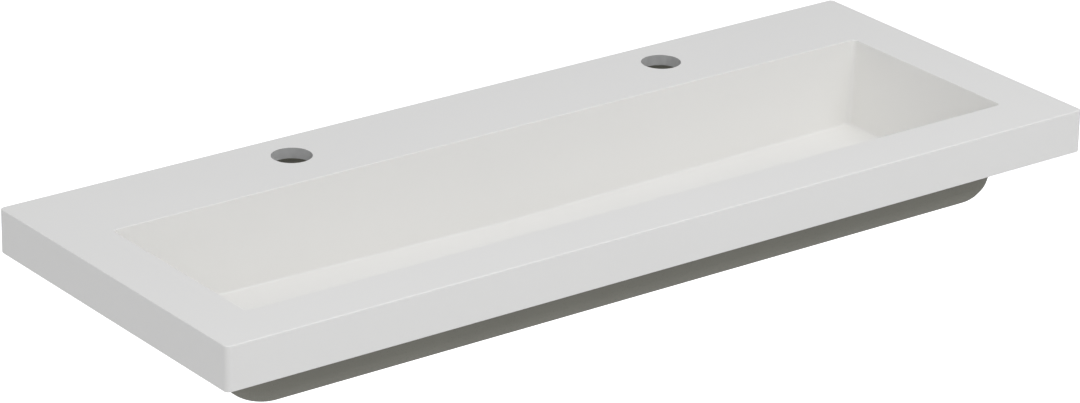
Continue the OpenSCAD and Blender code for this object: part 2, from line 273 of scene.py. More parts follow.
class Turning(Effect):
    """Fine rings round the Z axis and along it, as a lathe tool leaves them, as a height."""

    name = "turning_marks"
    inputs = {"Vector": VECTOR, "Pitch": FLOAT}
    outputs = {"Height": FLOAT}

    @classmethod
    def fill(cls, g: Group) -> None:
        """Runs the waves over the distance from the axis and the height together."""
        axes = g.add("ShaderNodeSeparateXYZ", {0: g.given["Vector"]}).outputs
        radius = g.add("ShaderNodeVectorMath", {0: g.vector(axes[0], axes[1])}, operation="LENGTH")
        run = g.math("ADD", radius.outputs["Value"], axes[2])
        g.give(g.result, {"Height": g.sine(run, g.given["Pitch"])})


class Surface(Wiring):
    """The wiring of a new material, with its shader and the place on the piece."""

    def __init__(self, name: str, centre: Point) -> None:
        """Makes the material, with its patterns measured from the centre."""
        self.material = bpy.data.materials.new(name)
        self.material.use_nodes = True
        super().__init__(self.material.node_tree)
        self.shader = self.tree.nodes["Principled BSDF"]
        texture = self.add("ShaderNodeTexCoord")
        shift = tuple(-value for value in centre)
        values = {"Vector": texture.outputs["Object"], "Location": shift}
        self.place = self.add("ShaderNodeMapping", values).outputs[0]


@dataclass(frozen=True)
class Finish:
    """A procedural finish, made into a Blender material at its first use."""

    name: str
    colour: Colour
    shade: Colour
    roughness: tuple[float, float]
    centre: Point = (0.0, 0.0, 0.0)
    drift_scale: float = 5.0
    gloss_share: float = 1.0
    relief_depth: float = 0.0
    relief_strength: float = 0.0

    def material(self) -> bpy.types.Material:
        """Returns the material, built the first time and shared afterwards."""
        found = bpy.data.materials.get(self.name)
        if found is not None:
            return found
        s = Surface(self.name, self.centre)
        light, dark = (*self.colour, 1.0), (*self.shade, 1.0)
        low, high = self.roughness
        gloss_scale = self.drift_scale * self.gloss_share
        cloud = Cloud.of(s, {"Vector": s.place, "Scale": self.drift_scale, "Light": light, "Dark": dark})
        marks = Handling.of(s, {"Vector": s.place, "Scale": gloss_scale, "Low": low, "High": high})
        height, more = self.dress(s, cloud["Color"])
        bump = s.add("ShaderNodeBump", {
            "Height": height, "Distance": self.relief_depth, "Strength": self.relief_strength,
        })
        s.give(s.shader, {
            "Base Color": cloud["Color"], "Roughness": marks["Roughness"], "Normal": bump.outputs[0], **more,
        })
        return s.material

    def dress(self, s: Surface, tint: Socket) -> tuple[Socket, Values]:
        """Adds what sets this finish apart.

        Args:
            s: The surface.
            tint: Its drifting colour.

        Returns:
            The height of its relief, and what goes into further inputs of the shader, by name.
        """
        raise NotImplementedError


@dataclass(frozen=True)
class GelCoat(Finish):
    """The polished white face of the casting, almost level, with the faintest drift in tone and gloss."""

    relief_depth: float = 0.0004
    relief_strength: float = 0.12
    wave_scale: float = 14.0
    wave_detail: float = 1.0
    coat: float = 0.05
    coat_roughness: float = 0.2

    def dress(self, s: Surface, tint: Socket) -> tuple[Socket, Values]:
        """Adds the coat and the long shallow waves of a polished casting."""
        waves = s.noise(s.place, self.wave_scale, self.wave_detail)
        return waves, {"Coat Weight": self.coat, "Coat Roughness": self.coat_roughness}


@dataclass(frozen=True)
class CutCorePaintedShade(Finish):
    """The wall of a drilled hole, with the rings that the core drill leaves. Its grey is partly the core's
    own tone and partly painted shade inside the hole.
    """

    drift_scale: float = 60.0
    gloss_share: float = 1.5
    relief_depth: float = 0.0002
    relief_strength: float = 0.4
    ring_pitch: float = 0.0009

    def dress(self, s: Surface, tint: Socket) -> tuple[Socket, Values]:
        """Adds the rings of the drill."""
        height = s.add("ShaderNodeSeparateXYZ", {0: s.place}).outputs[2]
        return s.sine(height, self.ring_pitch), {}


@dataclass(frozen=True)
class TurnedMetal(Finish):
    """A turned metal, plated or bare, with tool rings and handling marks."""

    drift_scale: float = 70.0
    relief_depth: float = 0.00002
    relief_strength: float = 0.3
    ring_pitch: float = 0.00035

    def dress(self, s: Surface, tint: Socket) -> tuple[Socket, Values]:
        """Adds the metal and the tool rings."""
        rings = Turning.of(s, {"Vector": s.place, "Pitch": self.ring_pitch})
        return rings["Height"], {"Metallic": 1.0}


@dataclass(frozen=True)
class Moulded(Finish):
    """A moulded plastic or rubber with a fine spark-eroded grain."""

    drift_scale: float = 120.0
    relief_depth: float = 0.00008
    relief_strength: float = 0.35
    grain_scale: float = 2500.0
    pit_share: float = 0.2

    def grain(self, s: Surface) -> Sequence[Socket]:
        """Adds the grain and returns its height and its pits, by name."""
        return Relief.of(s, {"Vector": s.place, "Scale": self.grain_scale, "Pits": self.pit_share})

    def dress(self, s: Surface, tint: Socket) -> tuple[Socket, Values]:
        """Adds the grain."""
        return self.grain(s)["Height"], {}


@dataclass(frozen=True)
class RawBackingPaintedShade(Moulded):
    """The uncoated back of the casting: stone filler in resin, dull, grainy and pitted. Its dark grey-brown
    is partly the raw casting's own tone and partly painted shade on the underside.
    """

    drift_scale: float = 9.0
    relief_depth: float = 0.0006
    relief_strength: float = 0.5
    grain_scale: float = 900.0
    pit_share: float = 0.8
    pit_shade_share: float = 0.5
    pit_shade_tone: float = 0.4

    def dress(self, s: Surface, tint: Socket) -> tuple[Socket, Values]:
        """Adds the cast grain, with its pits darkened as painted shade."""
        grain = self.grain(s)
        cover = s.math("MULTIPLY", grain["Pit"], self.pit_shade_share)
        # Painted shade: the pits are darkened, as shade in a hollow would darken them.
        dark = (*(self.pit_shade_tone * value for value in self.shade), 1.0)
        return grain["Height"], {"Base Color": s.blend(cover, tint, dark)}


def linked(name: str, data: bpy.types.ID) -> Piece:
    """Makes an object of its data and links it to the scene."""
    made = bpy.data.objects.new(name, data)
    bpy.context.scene.collection.objects.link(made)
    return made


@dataclass
class Shell:
    """Points and faces of one mesh, gathered ring by ring."""

    points: list[Point] = field(default_factory=list)
    faces: list[tuple[int, ...]] = field(default_factory=list)
    slots: list[int] = field(default_factory=list)

    def ring(self, coords: Sequence[Sequence[float]]) -> Ring:
        """Adds points and returns their numbers."""
        first = len(self.points)
        self.points.extend((float(x), float(y), float(z)) for x, y, z in coords)
        return list(range(first, len(self.points)))

    def face(self, corners: Sequence[int], slot: int) -> None:
        """Adds one face."""
        self.faces.append(tuple(corners))
        self.slots.append(slot)

    def stack(self, rings: Sequence[Ring], slot: int = 0) -> None:
        """Joins each ring to the next with quads.

        Args:
            rings: Closed rings of equal count, in turn. A ring of one point is a pole.
            slot: The finish of the faces.
        """
        for upper, lower in zip(rings, rings[1:]):
            count = max(len(upper), len(lower))
            for i in range(count):
                j = (i + 1) % count
                places = ((upper, i), (upper, j), (lower, j), (lower, i))
                corners = [ring[place % len(ring)] for ring, place in places]
                self.face(list(dict.fromkeys(corners)), slot)

    def cap(self, outlines: Sequence[Ring], slot: int) -> None:
        """Fills a flat outline with triangles.

        Args:
            outlines: The outer outline, then the outline of each hole.
            slot: The finish of the faces.
        """
        flat = [number for outline in outlines for number in outline]
        loops = [[Vector(self.points[number]) for number in outline] for outline in outlines]
        for triangle in tessellate_polygon(loops):
            self.face([flat[corner] for corner in triangle], slot)

    def build(self, name: str, finishes: Sequence[Finish], shading: Shading) -> Piece:
        """Makes the object, with its faces outwards, smooth and with its large flat faces kept flat.

        Args:
            name: The name of the piece.
            finishes: The finish of each slot.
            shading: Which edges stay sharp.

        Returns:
            The object, linked to the scene.
        """
        mesh = bpy.data.meshes.new(name)
        mesh.from_pydata(self.points, [], self.faces)
        for finish in finishes:
            mesh.materials.append(finish.material())
        mesh.polygons.foreach_set("material_index", self.slots)
        work = bmesh.new()
        work.from_mesh(mesh)
        bmesh.ops.recalc_face_normals(work, faces=work.faces)
        work.to_mesh(mesh)
        work.free()
        mesh.shade_smooth()
        mesh.set_sharp_from_angle(angle=radians(shading.value))
        piece = linked(name, mesh)
        piece.modifiers.new("even_shading", "WEIGHTED_NORMAL").keep_sharp = True
        return baked(piece)


def baked(piece: Piece) -> Piece:
    """Turns a piece's modifiers into plain mesh and removes them. Returns the piece."""
    graph = bpy.context.evaluated_depsgraph_get()
    seen = piece.evaluated_get(graph)
    mesh = bpy.data.meshes.new_from_object(seen, preserve_all_data_layers=True, depsgraph=graph)
    mesh.name = piece.name
    piece.modifiers.clear()
    piece.data = mesh
    return piece


def round_in(rise: float, radius: float, draft: float = 0.0) -> float:
    """Inward run of a rounded edge beside a wall with draft.

    Args:
        rise: Distance from the face that the edge ends on.
        radius: Radius of the edge.
        draft: Draft of the wall, in degrees.

    Returns:
        The run, from the line where the wall would meet the face. It follows the wall past the round.
    """
    tilt = radians(draft)
    if 1 - rise / radius <= sin(tilt) + TINY:
        return -rise * tan(tilt)
    return radius * (1 - sin(tilt)) / cos(tilt) - sqrt(max(radius**2 - (radius - rise) ** 2, 0.0))


def round_steps(radius: float, draft: float = 0.0, steps: int = 6) -> list[float]:
    """Distances from the face of the rings that round an edge, from its wall to its face."""
    angles = [radians(draft + (90 - draft) * i / steps) for i in range(steps + 1)]
    return [max(radius * (1 - sin(angle)), 0.0) for angle in angles]


def circle(centre: Spot, radius: float, z: float, sides: int) -> list[Point]:
    """Points of a level circle."""
    angles = [2 * pi * i / sides for i in range(sides)]
    return [(centre[0] + radius * cos(a), centre[1] + radius * sin(a), z) for a in angles]


@dataclass
class Oblong:
    """A rounded rectangle in plan, for the rings of the casting."""

    half_w: float
    front_y: float
    back_y: float
    corner_r: float
    steps: int = 16

    def grown(self, run: float, corner_r: float) -> "Oblong":
        """Returns the outline moved outwards by a run, with another corner radius."""
        return Oblong(self.half_w + run, self.front_y - run, self.back_y + run, corner_r)

    def corners(self) -> list[list[Spot]]:
        """Returns the points of each corner in turn: right front, right back, left back, left front."""
        x, r = self.half_w - self.corner_r, self.corner_r
        front, back = self.front_y + r, self.back_y - r
        places = ((x, front, -90), (x, back, 0), (-x, back, 90), (-x, front, 180))
        angles = [90 * i / self.steps for i in range(self.steps + 1)]
        return [
            [(cx + r * cos(radians(start + a)), cy + r * sin(radians(start + a))) for a in angles]
            for cx, cy, start in places
        ]

    def level(self, z: float) -> list[Point]:
        """Returns the outline at one height."""
        return [(x, y, z) for corner in self.corners() for x, y in corner]

    def falling(self, end_z: float, mid_z: float, mid_front_y: float, mid_back_y: float) -> list[Point]:
        """Returns the outline with a point in the middle of each long side.

        Args:
            end_z: Height at both ends.
            mid_z: Height in the middle.
            mid_front_y: Place of the middle point in front.
            mid_back_y: Place of the middle point behind.

        Returns:
            The points, whose heights fall evenly from the ends to the middle.
        """
        right_front, right_back, left_back, left_front = self.corners()
        back, front = (0.0, mid_back_y), (0.0, mid_front_y)
        plan = [*right_front, *right_back, back, *left_back, *left_front, front]
        return [(x, y, mid_z + (end_z - mid_z) * abs(x) / self.half_w) for x, y in plan]

    def edge(self, shell: Shell, z: float, radius: float, up: int) -> list[Ring]:
        """Adds rings that round the edge between upright walls on this plan and a level face.

        Args:
            shell: Where the rings go.
            z: Height of the face.
            radius: Radius of the edge.
            up: 1 if the walls rise to the face, and -1 if they drop to it.

        Returns:
            The rings, from the wall to the face.
        """
        steps = [(u, -round_in(u, radius)) for u in round_steps(radius)]
        return [shell.ring(self.grown(run, self.corner_r + run).level(z - up * u)) for u, run in steps]


@dataclass
class Hole:
    """A round hole through the casting, with eased edges."""

    centre: Spot
    radius: float
    ease: float
    steps: int = 3
    sides: int = 96

    def mouth(self, shell: Shell, z: float, up: int) -> list[Ring]:
        """Adds rings that ease the edge between the hole and a level face.

        Args:
            shell: Where the rings go.
            z: Height of the face.
            up: 1 if the hole rises to the face, and -1 if it drops to it.

        Returns:
            The rings, from the wall of the hole to the face.
        """
        steps = [(u, self.radius + round_in(u, self.ease)) for u in round_steps(self.ease, steps=self.steps)]
        return [shell.ring(circle(self.centre, r, z - up * u, self.sides)) for u, r in steps]


@dataclass
class BasinCasting:
    """The one-piece casting: deck, apron and bowl, with two tap holes and the drain hole.

    The sizes are those of the construction model. The small edge radii are finer than its own.
    """

    low: Vector
    high: Vector
    coat: Finish
    backing: Finish
    core: Finish
    apron_t: float = 0.013
    deck_t: float = 0.0135
    corner_r: float = 0.006
    edge_r: float = 0.0015
    foot_r: float = 0.0012
    pocket_r: float = 0.006
    pocket_fillet_r: float = 0.003
    end_rim: float = 0.069
    front_rim: float = 0.0675
    tap_ledge: float = 0.1265
    bowl_depth: float = 0.105
    floor_fall: float = 0.0075
    wall_draft: float = 7.0
    back_draft: float = 5.0
    bowl_corner_r: float = 0.0065
    floor_r: float = 0.003
    rim_r: float = 0.001
    bowl_wall: float = 0.021
    bowl_front_wall: float = 0.026
    floor_t: float = 0.01
    under_draft: float = 11.5
    under_corner_r: float = 0.04
    under_edge_r: float = 0.032
    root_r: float = 0.005
    tap_r: float = 0.024
    tap_edge_r: float = 0.0003
    tap_from_wall: float = 0.0535
    tap_places: tuple[float, float] = (-0.246, 0.288)
    drain_r: float = 0.023
    recess_r: float = 0.0335
    recess_depth: float = 0.003
    drain_edge_r: float = 0.0008
    recess_steps: int = 4
    under_steps: int = 16
    sides: int = 96

    def __post_init__(self) -> None:
        """Works out the levels and the plan of the bowl."""
        self.shell = Shell()
        self.deck_z = self.high.z
        self.pocket_z = self.deck_z - self.deck_t
        self.end_floor_z = self.deck_z - self.bowl_depth
        self.floor_z = self.end_floor_z - self.floor_fall
        self.under_z = self.floor_z - self.floor_t
        self.recess_z = self.floor_z - self.recess_depth
        self.bowl_half_w = self.high.x - self.end_rim
        self.bowl_front_y = self.low.y + self.front_rim
        self.bowl_back_y = -self.tap_ledge
        self.foot_front_y, self.foot_back_y = self.walls(self.bowl_depth)
        self.mid_front_y, self.mid_back_y = self.walls(self.bowl_depth + self.floor_fall)
        self.drain = (0.0, (self.mid_front_y + self.mid_back_y) / 2)

    def walls(self, depth: float) -> Spot:
        """Places of the front and back walls of the bowl at a depth below the deck."""
        front = self.bowl_front_y + depth * tan(radians(self.wall_draft))
        return front, self.bowl_back_y - depth * tan(radians(self.back_draft))

    def runs(self, rise: float, radius: float, draft: float) -> Spot:
        """Inward runs of a rounded edge beside walls with this draft and beside the back wall."""
        return round_in(rise, radius, draft), round_in(rise, radius, self.back_draft)

    def apron(self) -> tuple[Ring, Ring]:
        """Adds the outer faces, the seat and the inner walls of the apron.

        Returns:
            The edges of the deck's top and of its ceiling.
        """
        plan = Oblong(self.high.x, self.low.y, self.high.y, self.corner_r)
        top = plan.edge(self.shell, self.deck_z, self.edge_r, 1)
        foot = plan.edge(self.shell, 0.0, self.foot_r, -1)
        self.shell.stack([*reversed(top), *foot], Slot.COAT)
        inside = plan.grown(-self.apron_t, self.pocket_r)
        seat = self.shell.ring(inside.level(0.0))
        walls = inside.edge(self.shell, self.pocket_z, self.pocket_fillet_r, 1)
        self.shell.stack([foot[-1], seat, *walls], Slot.BACKING)
        return top[-1], walls[-1]

    def underside(self) -> tuple[Ring, Ring]:
        """Adds the outside of the bowl.

        Returns:
            Its edge on the ceiling and the edge of its flat bottom.
        """
        slopes = [tan(radians(draft)) for draft in (self.under_draft, self.back_draft)]

        def ring(z: float, runs: Sequence[float], corner_r: float) -> Ring:
            """Adds one level outline, moved outwards by the runs at its sides and at its back."""
            drop, back_drop = ((self.deck_z - z) * slope for slope in slopes)
            half_w = self.bowl_half_w + self.bowl_wall - drop + runs[0]
            front_y = self.bowl_front_y - self.bowl_front_wall + drop - runs[0]
            back_y = self.bowl_back_y + self.bowl_wall - back_drop + runs[1]
            return self.shell.ring(Oblong(half_w, front_y, back_y, corner_r).level(z))

        rings = []
        for u in reversed(round_steps(self.root_r, self.under_draft)):
            # The run counts from the ceiling, where the drop of the wall is still nothing
            ins = self.runs(u, self.root_r, self.under_draft)
            gain = [run + u * slope for run, slope in zip(ins, slopes)]
            rings.append(ring(self.pocket_z - u, gain, self.under_corner_r + gain[0]))
        for u in round_steps(self.under_edge_r, self.under_draft, self.under_steps):
            ins = self.runs(u, self.under_edge_r, self.under_draft)
            loss = [-run - u * slope for run, slope in zip(ins, slopes)]
            rings.append(ring(self.under_z + u, loss, self.under_corner_r - max(ins[0], 0.0)))
        self.shell.stack(rings, Slot.BACKING)
        return rings[0], rings[-1]

    def bowl(self) -> tuple[Ring, Ring]:
        """Adds the rounded rim, the walls and the floor fillet of the bowl.

        Returns:
            The edge of the bowl on the deck and the edge of its floor.
        """
        rings = []
        for u in reversed(round_steps(self.rim_r, self.wall_draft)):
            out, back_out = self.runs(u, self.rim_r, self.wall_draft)
            sides = self.bowl_front_y - out, self.bowl_back_y + back_out
            plan = Oblong(self.bowl_half_w + out, *sides, self.bowl_corner_r)
            rings.append(self.shell.ring(plan.falling(self.deck_z - u, self.deck_z - u, *sides)))
        foot_half_w = self.bowl_half_w - self.bowl_depth * tan(radians(self.wall_draft))
        for u in round_steps(self.floor_r, self.wall_draft):
            run, back_run = self.runs(u, self.floor_r, self.wall_draft)
            sides = self.foot_front_y + run, self.foot_back_y - back_run
            plan = Oblong(foot_half_w - run, *sides, self.bowl_corner_r - max(run, 0.0))
            middle = self.mid_front_y + run, self.mid_back_y - back_run
            rings.append(self.shell.ring(plan.falling(self.end_floor_z + u, self.floor_z + u, *middle)))
        self.shell.stack(rings, Slot.COAT)
        return rings[0], rings[-1]

    def floor(self, edge: Ring) -> Ring:
        """Adds the floor, which falls from both ends to the drain, with the recess and the drain hole.

        Args:
            edge: The edge of the floor, from the right front corner round to the middle in front.

        Returns:
            The edge of the drain hole on the flat bottom.
        """
        half_w = max(self.shell.points[number][0] for number in edge)
        lip = []
        for u in reversed(round_steps(self.drain_edge_r, steps=self.recess_steps)):
            plan = circle(self.drain, self.recess_r + round_in(u, self.drain_edge_r), 0.0, self.sides)
            level = [self.floor_z + self.floor_fall * abs(x) / half_w - u for x, _, _ in plan]
            lip.append(self.shell.ring([(x, y, z) for (x, y, _), z in zip(plan, level)]))
        quarter, half = self.sides // 4, len(edge) // 2 - 1
        right = [lip[0][i % self.sides] for i in range(quarter, -quarter - 1, -1)]
        left = [lip[0][i] for i in range(3 * quarter, quarter - 1, -1)]
        self.shell.cap([[edge[-1], *edge[:half + 1], *right]], Slot.COAT)
        self.shell.cap([[*edge[half:], *left]], Slot.COAT)
        seat = self.shell.ring(circle(self.drain, self.recess_r, self.recess_z, self.sides))
        hole = Hole(self.drain, self.drain_r, self.drain_edge_r)
        upper = hole.mouth(self.shell, self.recess_z, 1)
        self.shell.stack([*lip, seat, *reversed(upper)], Slot.COAT)
        lower = hole.mouth(self.shell, self.under_z, -1)
        self.shell.stack([upper[0], *lower], Slot.BACKING)
        return lower[-1]

    def build(self) -> Piece:
        """Builds the casting and returns it, riding in place of its construction node."""
        deck_edge, ceiling_edge = self.apron()
        root_edge, bottom_edge = self.underside()
        rim_edge, floor_edge = self.bowl()
        drain_edge = self.floor(floor_edge)
        deck_edges, ceiling_edges = [deck_edge, rim_edge], [ceiling_edge, root_edge]
        for x in self.tap_places:
            hole = Hole((x, -self.tap_from_wall), self.tap_r, self.tap_edge_r)
            upper = hole.mouth(self.shell, self.deck_z, 1)
            lower = hole.mouth(self.shell, self.pocket_z, -1)
            self.shell.stack(list(reversed(upper)), Slot.COAT)
            self.shell.stack([upper[0], *lower], Slot.CORE)
            deck_edges.append(upper[-1])
            ceiling_edges.append(lower[-1])
        self.shell.cap(deck_edges, Slot.COAT)
        self.shell.cap(ceiling_edges, Slot.BACKING)
        self.shell.cap([bottom_edge, drain_edge], Slot.BACKING)
        finishes = [self.coat, self.backing, self.core]
        piece = self.shell.build("basin_casting", finishes, Shading.ALL_ROUND)
        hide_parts("basin")
        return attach(piece, Body.BASIN.value)


def rounded_profile(corners: Sequence[tuple[float, float, float]], steps: int = 4) -> list[Spot]:
    """Rounds the corners of a turned profile.

    Args:
        corners: The radius, the height and the rounding of each corner, in turn round the profile.
        steps: Steps in each rounding.

    Returns:
        The radius and the height of each point.
    """
    points = []
    count = len(corners)
    for i, (radius, height, ease) in enumerate(corners):
        here = Vector((radius, height))
        if ease == 0:
            points.append((radius, height))
            continue
        before, after = Vector(corners[i - 1][:2]) - here, Vector(corners[(i + 1) % count][:2]) - here
        turn = before.angle(after)
        reach = min(ease / tan(turn / 2), before.length / 2, after.length / 2)
        start, end = here + before.normalized() * reach, here + after.normalized() * reach
        for k in range(steps + 1):
            t = k / steps
            # A conic through both ends stays within the corner, as a blend by hand does
            point = (1 - t) ** 2 * start + 2 * t * (1 - t) * here + t**2 * end
            points.append((point.x, point.y))
    return points


def turned(name: str, axis: Spot, profile: Sequence[Spot], finish: Finish, sides: int) -> Piece:
    """Makes a turned piece.

    Args:
        name: The name of the piece.
        axis: Where its upright axis stands.
        profile: The radius and the height of each point of its closed outline. Points on the axis are poles.
        finish: Its finish.
        sides: Sides of each ring.

    Returns:
        The object.
    """
    shell = Shell()
    rings = [shell.ring([(*axis, z)] if r == 0 else circle(axis, r, z, sides)) for r, z in profile]
    on_axis = [len(ring) == 1 for ring in rings]
    if any(on_axis):
        first = next(i for i, pole in enumerate(on_axis) if pole and not on_axis[(i + 1) % len(rings)])
        shell.stack(rings[first:] + rings[:first])
    else:
        shell.stack([*rings, rings[0]])
    return shell.build(name, [finish], Shading.TURNED)


class PatternTree(Group):
    """A Geometry Nodes tree with named inputs that ends in realized pieces with one finish."""

    def __init__(self, name: str, sizes: Sequence[str], counts: Sequence[str]) -> None:
        """Starts the tree.

        Args:
            name: Its name.
            sizes: The names of its inputs that are lengths or shares.
            counts: The names of its inputs that are whole numbers.
        """
        inputs = {**dict.fromkeys(sizes, FLOAT), **dict.fromkeys(counts, INTEGER)}
        inputs["Finish"] = "NodeSocketMaterial"
        super().__init__(name, "GeometryNodeTree", inputs, {"Geometry": "NodeSocketGeometry"})

    def moved(self, geometry: Socket, shift: Socket) -> Socket:
        """Adds a move of some geometry and returns the result."""
        values = {"Geometry": geometry, "Translation": shift}
        return self.add("GeometryNodeTransform", values).outputs[0]

    def end(self, geometry: Socket) -> None:
        """Ends the tree: the geometry is shaded smooth, realized and given its finish."""
        smooth = self.add("GeometryNodeSetShadeSmooth", {"Geometry": geometry})
        real = self.add("GeometryNodeRealizeInstances", {"Geometry": smooth.outputs[0]})
        values = {"Geometry": real.outputs[0], "Material": self.given["Finish"]}
        self.give(self.result, {0: self.add("GeometryNodeSetMaterial", values).outputs[0]})

    def make(self, name: str, sizes: dict[str, float], finish: Finish) -> Piece:
        """Makes a plain mesh with the tree.

        Args:
            name: The name of the piece.
            sizes: The value of each input, by name.
            finish: Its finish.

        Returns:
            The object.
        """
        piece = linked(name, bpy.data.meshes.new(name))
        modifier = piece.modifiers.new("pattern", "NODES")
        modifier.node_group = self.tree
        values = {**sizes, "Finish": finish.material()}
        for item in self.tree.interface.items_tree:
            if item.item_type == "SOCKET" and item.in_out == "INPUT":
                modifier[item.identifier] = values[item.name]
        return baked(piece)


class CoilTree(PatternTree):
    """A round wire swept along a helix, for the spring and for screw threads."""

    def __init__(self) -> None:
        """Builds the tree."""
        sizes = ("Radius", "Wire radius", "Turns", "Height", "Closed ends", "Base height", "Axis Y")
        super().__init__("coil", sizes, ("Steps", "Sides"))
        given = self.given
        helix = self.add("GeometryNodeCurveSpiral", {
            "Resolution": given["Steps"], "Rotations": given["Turns"], "Height": given["Height"],
            "Start Radius": given["Radius"], "End Radius": given["Radius"],
        })
        along = self.add("GeometryNodeSplineParameter").outputs["Factor"]
        eased = self.add("ShaderNodeMapRange", {"Value": along}, interpolation_type="SMOOTHSTEP")
        ahead = self.math("SUBTRACT", eased.outputs[0], along)
        shift = self.math("MULTIPLY", self.math("MULTIPLY", ahead, given["Height"]), given["Closed ends"])
        values = {"Geometry": helix.outputs[0], "Offset": self.vector(z=shift)}
        placed = self.add("GeometryNodeSetPosition", values)
        values = {"Resolution": given["Sides"], "Radius": given["Wire radius"]}
        wire = self.add("GeometryNodeCurvePrimitiveCircle", values)
        swept = self.add("GeometryNodeCurveToMesh", {
            "Curve": placed.outputs[0], "Profile Curve": wire.outputs[0], "Fill Caps": True,
        })
        self.end(self.moved(swept.outputs[0], self.vector(0.0, given["Axis Y"], given["Base height"])))


class SpokeTree(PatternTree):
    """Bars set evenly round an upright axis, for the hub of the waste."""

    def __init__(self) -> None:
        """Builds the tree."""
        sizes = ("Inner radius", "Outer radius", "Width", "Height", "Top height", "Axis Y")
        super().__init__("spokes", sizes, ("Count",))
        given = self.given
        inner, outer, height = given["Inner radius"], given["Outer radius"], given["Height"]
        size = self.vector(self.math("SUBTRACT", outer, inner), given["Width"], height)
        bar = self.add("GeometryNodeMeshCube", {"Size": size})
        middle = self.math("MULTIPLY", self.math("ADD", outer, inner), 0.5)
        level = self.math("SUBTRACT", given["Top height"], self.math("MULTIPLY", height, 0.5))
        set_out = self.moved(bar.outputs[0], self.vector(middle, 0.0, level))
        points = self.add("GeometryNodePoints", {"Count": given["Count"]})
        part = self.math("DIVIDE", self.add("GeometryNodeInputIndex").outputs[0], given["Count"])
        turn = self.vector(z=self.math("MULTIPLY", part, 2 * pi))
        bars = self.add("GeometryNodeInstanceOnPoints", {
            "Points": points.outputs[0], "Instance": set_out, "Rotation": turn,
        })
        self.end(self.moved(bars.outputs[0], self.vector(0.0, given["Axis Y"])))


def dress_nodes(finishes: dict[str, Finish]) -> None:
    """Gives construction nodes their finish and smooth shading, with their meshes as they are.

    Args:
        finishes: The finish of each node, by the node's name.
    """
    for node, finish in finishes.items():
        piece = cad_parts[node]
        for slot in piece.material_slots:
            slot.material = finish.material()
        piece.modifiers.new("weld", "WELD").merge_threshold = WELD_GAP
        piece.modifiers.new("even_shading", "WEIGHTED_NORMAL").keep_sharp = True
        LOG.info("dressed %s in %s", node, finish.name)


